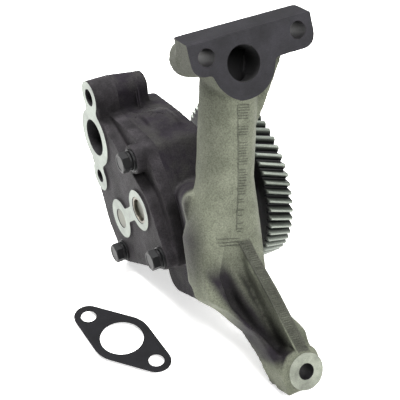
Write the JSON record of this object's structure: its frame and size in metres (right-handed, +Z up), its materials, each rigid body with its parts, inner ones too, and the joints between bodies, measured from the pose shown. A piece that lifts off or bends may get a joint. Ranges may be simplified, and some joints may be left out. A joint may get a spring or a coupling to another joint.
{
  "type": "engine oil pump",
  "caption": "Gear-type engine oil pump with a cast body, delivery column and flange, mounting foot, bolted cover with suction port, and a helical drive wheel.",
  "frame": {"origin": "centre of the delivery port on the face that bolts to the engine", "axes": "+X runs down the drive shaft from the cover to the helical wheel; +Z is up with the pump standing on its foot and its lowest cover bolt lug; the engine face looks towards -Y and leans back to face partly up"},
  "size_m": [0.1669, 0.2447, 0.2237],
  "materials": {
    "body_casting": "rough sand-cast skin, machined on the mounting faces",
    "cover_casting": "rough sand-cast skin, machined pads",
    "bush_bronze": "bored bearing bronze",
    "ground_steel": "ground steel",
    "gear_steel": "hobbed steel",
    "wheel_steel": "dark hardened steel, bright tooth flanks",
    "black_fasteners": "black oxide finish on steel",
    "gasket_fibre": "dark pressed fibre"
  },
  "bodies": {
    "pump": {"main_casting": "body_casting", "cover": "cover_casting", "cover_bush": "bush_bronze", "body_bush": "bush_bronze", "idler_pin": "ground_steel", "dowels": "ground_steel", "cover_bolts": "black_fasteners", "spring_washers": "black_fasteners", "flat_washers": "black_fasteners", "suction_gasket": "gasket_fibre"},
    "drive": {"drive_shaft": "ground_steel", "pump_drive_gear": "gear_steel", "pump_gear_key": "ground_steel", "helical_wheel": "wheel_steel", "wheel_key": "ground_steel", "thrust_washer": "bush_bronze", "hub_washer": "ground_steel", "hub_nut": "black_fasteners"},
    "idler": {"pump_idler_gear": "gear_steel", "idler_bush": "bush_bronze"}
  },
  "joints": [
    {"name": "drive_spin", "type": "hinge", "parent": "pump", "child": "drive", "pos_m": [0, 0.0405, -0.13056], "axis": [1, 0, 0], "continuous": true},
    {"name": "idler_spin", "type": "hinge", "parent": "pump", "child": "idler", "pos_m": [0, 0.06947, -0.16097], "axis": [1, 0, 0], "continuous": true}
  ],
  "couplings": [
    {"joint": "idler_spin", "follows": "drive_spin", "ratio": -1}
  ]
}
